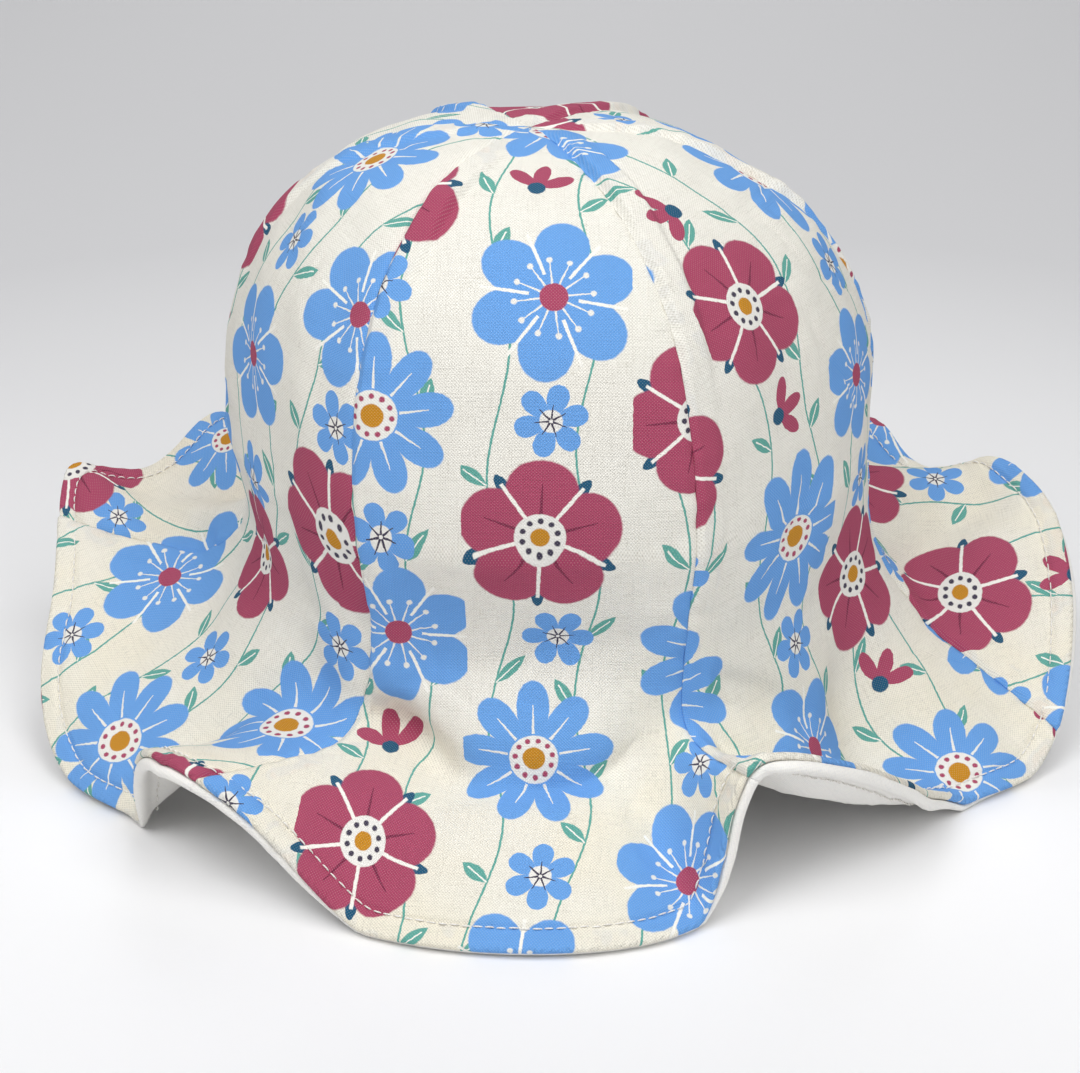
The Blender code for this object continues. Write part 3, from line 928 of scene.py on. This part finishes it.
# The print's repeat, in millimetres: columns of large flowers, every other column dropped by half a row
REPEAT_ACROSS = 37.0
REPEAT_DOWN = 56.0
LARGE_SCATTER = 7.0
SMALL_SCATTER = 6.0
VINE_PITCH = 18.5
VINE_SWAY = 2.6
VINE_WAVE = 61.0
VINE_SCATTER = 5.0
LEAF_PITCH = 17.0
LEAF_SCATTER = 40.0
LEAF_REACH = 4.1              # half its length
LEAF_WIDTH = 1.55             # half its width
PRINT_ROUGHNESS = 0.4


def half_drop(tree, x, y, shift_down, scatter, seed):
    """Distance and angle from the motif of the nearest cell of the repeat, with its number and randoms."""
    column = (x / REPEAT_ACROSS).floor()
    odd = column.math("PINGPONG", 1.0)
    lifted = y / REPEAT_DOWN + odd * 0.5 + shift_down
    row = lifted.floor()
    chance = random_terms(tree, column, row, seed)
    local_x = (x / REPEAT_ACROSS - column - 0.5) * REPEAT_ACROSS + (chance[0] - 0.5) * scatter
    local_y = (lifted - row - 0.5) * REPEAT_DOWN + (chance[1] - 0.5) * scatter
    angle = local_y.math("ARCTAN2", local_x) + chance[2] * math.tau
    return length_of(local_x, local_y), angle, column + row * 2.0, chance


def length_of(x, y):
    return (x * x + y * y).math("SQRT")


def disc(distance, radius):
    return distance.ramp(radius + 0.12, radius - 0.12)


class Rosette:
    """Petals set evenly round a middle. Along and aside are places within the nearest petal."""

    def __init__(self, distance, angle, petals, ring):
        self.sector = math.tau / petals
        turned = angle / self.sector
        self.part = turned - turned.math("ROUND")
        self.distance = distance
        off = self.part * self.sector
        self.along = distance * off.cosine() - ring
        self.aside = distance * off.sine()

    def oval(self, half_long, half_wide, blunt):
        """Oval petal, wider towards its tip if blunt is more than 0."""
        long = self.along / half_long
        wide = self.aside / (long * (blunt * half_wide) + half_wide)
        return (long * long + wide * wide).ramp(1.05, 0.95)

    def gap(self, half_wide, start, end):
        """Thin line between neighbouring petals, from one distance to another."""
        edge = (abs(self.part) - 0.5) * -self.sector
        line = (edge.sine() * self.distance).ramp(half_wide * 1.25, half_wide * 0.75)
        return line * self.distance.more(start) * disc(self.distance, end)

    def stroke(self, half_wide, low, high):
        """Line along the middle of each petal, tapering to its tip."""
        taper = self.along.ramp(low, high, half_wide, half_wide * 0.3)
        line = (abs(self.aside) / taper).ramp(1.2, 0.8)
        return line * self.along.more(low) * self.along.less(high)

    def bead(self, radius, out):
        """Small disc on the middle line of each petal, this far out from its middle."""
        return disc(length_of(self.along - out, self.aside), radius)


# Flowers in millimetres, their lowest layer first. A disc has its radius. Any other mark has the number of
# petals, their turn, the ring that their middles lie on, and its own sizes.
DAISY = (
    # mark, ink, sizes
    (Rosette.oval, SKY, 9, 0.0, 10.6, 7.7, 3.65, 0.28),
    (disc, SKY, 7.5),
    (Rosette.stroke, INK_WHITE, 9, 0.0, 10.6, 0.34, -4.6, 2.2),
    (disc, INK_WHITE, 5.6),
    (Rosette.bead, RASPBERRY, 11, 0.2, 4.3, 0.62, 0.0),
    (disc, MUSTARD, 2.6),
)
BLOSSOM = (
    (Rosette.oval, TEAL, 5, 0.63, 13.2, 4.2, 1.5, 0.0),
    (Rosette.oval, RASPBERRY, 5, 0.0, 9.4, 8.6, 7.6, 0.22),
    (Rosette.stroke, RASPBERRY_DEEP, 5, 0.0, 9.4, 0.42, -5.0, 3.4),
    (Rosette.gap, CREAM, 5, 0.0, 9.4, 0.42, 4.0, 15.0),
    (disc, INK_WHITE, 5.6),
    (Rosette.bead, CHARCOAL, 10, 0.0, 3.9, 0.66, 0.0),
    (disc, MUSTARD, 2.1),
)
CUP = (
    (Rosette.oval, SKY, 6, 0.0, 9.6, 7.6, 5.6, 0.12),
    (Rosette.gap, CREAM, 6, 0.0, 9.6, 0.34, 5.0, 15.0),
    (Rosette.stroke, INK_WHITE, 12, 0.26, 5.4, 0.30, -5.0, 2.6),
    (Rosette.bead, INK_WHITE, 12, 0.26, 5.4, 0.62, 2.6),
    (disc, RASPBERRY, 2.9),
)
SMALL_FLOWER = (
    (Rosette.oval, SKY, 6, 0.0, 4.7, 3.4, 2.3, 0.25),
    (disc, INK_WHITE, 2.5),
    (Rosette.stroke, CHARCOAL, 7, 0.3, 3.0, 0.26, -2.6, 0.6),
)
BUD_PETALS = (
    (Rosette.oval, RASPBERRY, 7, 0.0, 4.4, 4.6, 1.75, 0.25),
)
BUD_FOOT = (
    (disc, TEAL, 2.0),
)


class Print:
    """Colour of printed cloth. Each ink goes over what is there already."""

    def __init__(self, tree, ground):
        self.tree = tree
        self.colour = ground

    def lay(self, ink, share):
        self.colour = mix(self.tree, self.colour, ink, share)

    def flower(self, marks, distance, angle, shown):
        rosettes = {}
        for mark, ink, *sizes in marks:
            if mark is disc:
                share = disc(distance, *sizes)
            else:
                petals, turn, ring, *sizes = sizes
                if (petals, turn) not in rosettes:
                    rosettes[petals, turn] = Rosette(distance, angle + turn, petals, ring)
                share = mark(rosettes[petals, turn], *sizes)
            self.lay(ink, share * shown)

    def vines(self, x, y):
        """Thin swaying lines down the cloth, with leaves on alternate sides."""
        lane = (x / VINE_PITCH).floor()
        chance = random_terms(self.tree, lane, lane * 0.37, 5.0)
        sway = (y * (math.tau / VINE_WAVE) + chance[0] * math.tau).sine() * VINE_SWAY
        from_vine = (x / VINE_PITCH - lane - 0.5) * VINE_PITCH - sway - (chance[1] - 0.5) * VINE_SCATTER
        self.lay(STEM, abs(from_vine).ramp(0.30, 0.20))
        up = (y + chance[2] * LEAF_SCATTER) / LEAF_PITCH
        storey = up.floor()
        up = (up - storey - 0.5) * LEAF_PITCH
        chance = random_terms(self.tree, lane, storey, 6.0)
        out = from_vine * (storey.math("PINGPONG", 1.0) * 2.0 - 1.0)
        tilt = chance[0] * 0.5 + 0.55
        along = (out * tilt.cosine() + up * tilt.sine() - LEAF_REACH) / LEAF_REACH
        aside = abs(up * tilt.cosine() - out * tilt.sine())
        leaf = (aside / LEAF_WIDTH + along * along).ramp(1.06, 0.94) * chance[1].more(0.25)
        self.lay(STEM, leaf)
        self.lay(CREAM, aside.ramp(0.2, 0.12) * leaf * along.less(0.6))


def printed(tree, x, y, ground):
    """The print over its ground: leafy vines, large flowers, and small flowers or buds between them."""
    rough_x, rough_y = (cloth_noise(tree, x, y, 0.9, 0.9, seed) - 0.5 for seed in (3.0, 9.0))
    x = x + rough_x * PRINT_ROUGHNESS
    y = y + rough_y * PRINT_ROUGHNESS
    cloth = Print(tree, ground)
    cloth.vines(x, y)

    distance, angle, _, chance = half_drop(tree, x, y, 0.5, SMALL_SCATTER, 2.0)
    is_bud = chance[0].more(0.66)
    cloth.flower(SMALL_FLOWER, distance, angle, -is_bud + 1.0)
    cloth.flower(BUD_PETALS, distance, angle, angle.cosine().more(0.25) * is_bud)
    cloth.flower(BUD_FOOT, distance, angle, is_bud)

    distance, angle, number, chance = half_drop(tree, x, y, 0.0, LARGE_SCATTER, 1.0)
    distance = distance * (chance[0] * 0.14 + 0.90)
    kind = (number / 3.0).math("FRACT") * 3.0
    is_daisy = kind.less(0.5)
    is_blossom = kind.more(1.5)
    cloth.flower(DAISY, distance, angle, is_daisy)
    cloth.flower(BLOSSOM, distance, angle, is_blossom)
    cloth.flower(CUP, distance, angle, -is_daisy - is_blossom + 1.0)
    return cloth.colour


THREAD_PITCH = 0.36  # from thread to thread of the plain weave, in millimetres
SLUB_FINE = 2.6      # the threads' unevenness, across them and along them
SLUB_LONG = 0.10


def weave(tree, x, y):
    """Height of a plain weave, 0 to 1, and the slubs of its two sets of threads."""
    height = (x * (math.pi / THREAD_PITCH)).sine() * (y * (math.pi / THREAD_PITCH)).sine() * 0.5 + 0.5
    warp = cloth_noise(tree, x, y, SLUB_FINE, SLUB_LONG, 1.0)
    weft = cloth_noise(tree, x, y, SLUB_LONG, SLUB_FINE, 2.0)
    return height, warp + weft - 1.0


def new_material(name, roughness, specular=0.18):
    material = bpy.data.materials.new(name)
    material.use_nodes = True
    tree = material.node_tree
    shader = tree.nodes["Principled BSDF"]
    shader.inputs["Roughness"].default_value = roughness
    shader.inputs["Specular IOR Level"].default_value = specular
    return material, tree, shader


def dress(tree, shader, colour, height, distance):
    """Gives a cloth its colour and the relief of its threads."""
    tree.links.new(colour, shader.inputs["Base Color"])
    node = new_node(tree, "Bump", {"Strength": 1.0, "Distance": distance, "Height": height})
    tree.links.new(node.outputs[0], shader.inputs["Normal"])


def printed_cotton():
    material, tree, shader = new_material("printed_cloth", 0.86)
    x, y = map_terms(tree, "Cloth")
    seam, inset = map_terms(tree, "Edges")
    height, slub = weave(tree, x, y)

    # The turned cloth of the allowances shows through the ground faintly, beside the seams and inside the hem
    ghost = cloth_noise(tree, x, y, 0.10, 0.10, 5.0)
    beside = seam.ramp(6.0, 7.2, 1.0, 0.0) * seam.more(0.0)
    turned = inset.ramp(5.2, 5.9, 1.0, 0.0)
    under = beside.math("MAXIMUM", turned) * ghost.ramp(0.52, 0.56)
    tint = mix(tree, GHOST_COOL, GHOST_WARM, ghost.ramp(0.60, 0.64))

    # The ground shows the weave, the ink only a little of it
    patchy = cloth_noise(tree, x, y, 0.035, 0.035, 8.0).ramp(0.34, 0.62, 0.35, 1.0)
    # Random warmer patches of cream, a real unevenness of tone, made much stronger near the hem as painted warm
    # bounce light
    cream = mix(tree, CREAM, PAINTED_BOUNCE_CREAM, patchy * inset.ramp(30.0, 62.0, 0.85, 0.10))
    pores = height.ramp(0.0, 0.6, 0.52, 0.0)
    threads = (abs(slub) * 1.1 + pores).math("MINIMUM", 0.8)
    ground = mix(tree, mix(tree, cream, tint, under * 0.20), CREAM_THREAD, threads)
    colour = mix(tree, printed(tree, x, y, ground), CREAM, height.ramp(0.72, 1.0, 0.0, 0.20))
    rib = (x * (math.tau / 1.7) + cloth_noise(tree, x, y, 0.3, 0.3, 7.0) * 9.0).sine()
    relief = height * 0.6 + slub * 0.9 + rib * inset.ramp(0.6, 1.6, 0.9, 0.0)
    dress(tree, shader, colour, relief, 0.17 * MM)
    return material


def white_cotton():
    material, tree, shader = new_material("lining_cloth", 0.82)
    height, slub = weave(tree, *map_terms(tree, "Cloth"))
    shade = mix(tree, LINING_WHITE, LINING_PORE, height.ramp(0.0, 0.5, 0.22, 0.0))
    dress(tree, shader, mix(tree, shade, LINING_SLUB, abs(slub) * 0.9), height * 0.7 + slub, 0.10 * MM)
    return material


def white_thread():
    material, tree, shader = new_material("sewing_thread", 0.6)
    fine = noise(tree, new_node(tree, "TexCoord", {}).outputs["Object"], 3500.0, 1.0)
    dress(tree, shader, mix(tree, THREAD_WHITE, THREAD_SHADE, fine.ramp(0.45, 0.7)), fine, 0.05 * MM)
    return material


# Where each panel is cut from the print, in millimetres
CUTS = (
    # across, down
    (12.0, 31.0),
    (67.0, 14.0),
    (131.0, 47.0),
    (203.0, 22.0),
    (259.0, 61.0),
    (318.0, 5.0),
)


def hat():
    printed_cloth = printed_cotton()
    white = white_cotton()
    thread = white_thread()
    for number in range(1, PANELS + 1):
        flat_panel = relaxed_flat(number)
        printed_panel(number, flat_panel, np.array(CUTS[number - 1]) * MM, printed_cloth)
        lining_panel(number, flat_panel, white)
    proud = STITCH_PROUD - STITCH_SINK
    topstitching("topstitching", proud, 1.0, thread, 11)
    topstitching("topstitching_inside", -2 * CLOTH_WALL - LAYER_GAP - proud, -1.0, thread, 12)


FLOOR_RINGS = (0.02, 0.3, 0.6, 0.9, 1.2, 1.5)
FLOOR_SIDES = 96
FLOOR_BEND = 0.6
BEND_STEPS = 16
PAINTED_FLOOR_SHADE_SPAN = (0.12, 0.42)  # painted shade: the floor's colour grows greyer from here to here, standing in for the lamps' falloff
HAT_MIDDLE = (0.0, 0.0, 0.05)
LAMPS = (
    # name, place, aim, size, watts
    ("left_window", (-0.57, -0.57, 1.15), HAT_MIDDLE, 0.9, 8.8),
    ("right_window", (0.53, -0.53, 1.22), HAT_MIDDLE, 0.9, 5.7),
    ("front_lamp", (0.0, -0.70, 1.26), HAT_MIDDLE, 0.9, 1.5),
    ("right_lamp", (0.55, -1.04, 0.81), HAT_MIDDLE, 0.6, 3.2),
    ("low_left", (-1.25, -0.20, 0.28), HAT_MIDDLE, 0.6, 0.3),
    ("ceiling", (0.0, -0.05, 1.45), HAT_MIDDLE, 0.9, 1.3),
    ("back_wall", (0.0, 0.90, 1.12), HAT_MIDDLE, 0.9, 0.9),
    ("backdrop", (0.0, 1.20, 0.95), (0.0, 1.0, 0.0), 0.8, 4.4),
)
ROOM_LIGHT = 0.10


def stage():
    """Pale round floor that bends up at its rim. Its colour is painted greyer away from the hat, as painted
    shade for the lamps' falloff.
    """
    profile = [(radius, 0.0) for radius in FLOOR_RINGS]
    for step in range(1, BEND_STEPS + 1):
        turn = math.pi / 2 * step / BEND_STEPS
        profile.append((FLOOR_RINGS[-1] + FLOOR_BEND * math.sin(turn), FLOOR_BEND * (1 - math.cos(turn))))
    turns = [math.tau * side / FLOOR_SIDES for side in range(FLOOR_SIDES)]
    points = [(out * math.cos(turn), out * math.sin(turn), rise) for out, rise in profile for turn in turns]
    faces = [face[::-1] for face in tube_faces(len(profile), FLOOR_SIDES)[:-1]]
    mesh = new_mesh("pale_floor", points, faces)
    material, tree, shader = new_material("pale_floor", 0.9, 0.1)
    # Painted shade: the floor's colour darkens with distance from the hat
    far = length_of(*split(tree, new_node(tree, "TexCoord", {}).outputs["Object"])).ramp(*PAINTED_FLOOR_SHADE_SPAN)
    tree.links.new(mix(tree, FLOOR_NEAR, FLOOR_FAR_PAINTED_SHADE, far), shader.inputs["Base Color"])
    mesh.materials.append(material)
    add_object("pale_floor", mesh)


def lights():
    world = bpy.data.worlds.new("soft_room")
    world.use_nodes = True
    background = world.node_tree.nodes["Background"]
    background.inputs["Color"].default_value = (1.0, 1.0, 1.0, 1.0)
    background.inputs["Strength"].default_value = ROOM_LIGHT
    bpy.context.scene.world = world
    for name, place, aim, size, watts in LAMPS:
        light = bpy.data.lights.new(name, "AREA")
        light.shape = "DISK"
        light.size = size
        light.energy = watts
        lamp = add_object(name, light)
        lamp.location = place
        x, y, z = np.array(aim) - np.array(place)
        lamp.rotation_euler = (math.atan2(math.hypot(x, y), -z), 0.0, math.atan2(-x, y))


def camera():
    """Camera at the photograph's angle. Its place and tilt were fitted to the hat's outline there."""
    distance, height, tilt, lens = 0.56244, 0.30538, 24.4, 82.35
    data = bpy.data.cameras.new("camera")
    data.sensor_fit = "HORIZONTAL"
    data.sensor_width = 36.0
    data.lens = lens
    data.clip_start = 0.01
    viewer = add_object("camera", data)
    viewer.location = (-CENTRE[0], -distance - CENTRE[1], height)
    viewer.rotation_euler = (math.radians(90 - tilt), 0.0, 0.0)
    bpy.context.scene.camera = viewer
    bpy.context.scene.view_settings.view_transform = "Standard"


camera()
hat()
stage()
lights()
